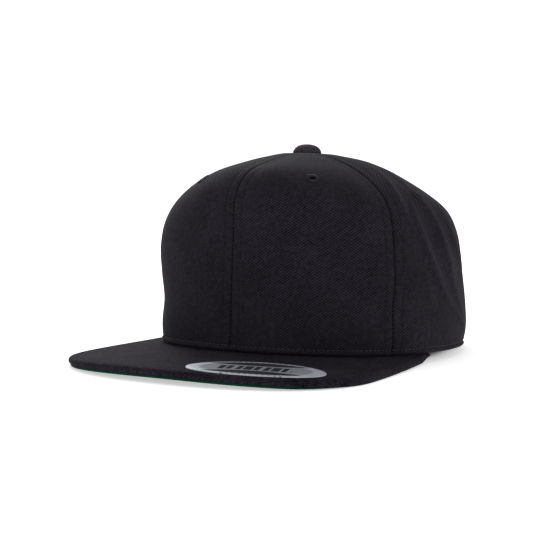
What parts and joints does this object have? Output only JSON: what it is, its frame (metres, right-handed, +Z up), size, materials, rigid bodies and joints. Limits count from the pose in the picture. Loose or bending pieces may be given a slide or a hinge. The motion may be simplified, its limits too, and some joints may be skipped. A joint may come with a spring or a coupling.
{
  "type": "snapback cap",
  "caption": "Black twill snapback cap with a high sewn crown, a flat peak with a green underside, and an open back closed by a snap strap.",
  "frame": {"origin": "centre of the bounding box at its bottom, on the surface that the cap rests on", "axes": "+Z up, the peak points towards -Y, the wearer's left is +X"},
  "size_m": [0.178, 0.2598, 0.121],
  "materials": {
    "crown_cloth": "matte twill",
    "under_cloth": "matte twill",
    "thread": "satin thread",
    "band_cloth": "matte",
    "strap_plastic": "satin",
    "sticker_foil": "satin foil"
  },
  "bodies": {
    "root": {"front_panel_left": "crown_cloth", "front_panel_right": "crown_cloth", "side_panel_left": "crown_cloth", "side_panel_right": "crown_cloth", "back_panel_left": "crown_cloth", "back_panel_right": "crown_cloth", "front_eyelet_left": "thread", "front_eyelet_right": "thread", "side_eyelet_left": "thread", "side_eyelet_right": "thread", "back_eyelet_left": "thread", "back_eyelet_right": "thread", "top_button": "crown_cloth", "peak": "crown_cloth", "peak_underside": "under_cloth", "sweatband": "band_cloth", "snap_strap": "strap_plastic", "peak_sticker": "sticker_foil"}
  },
  "joints": []
}
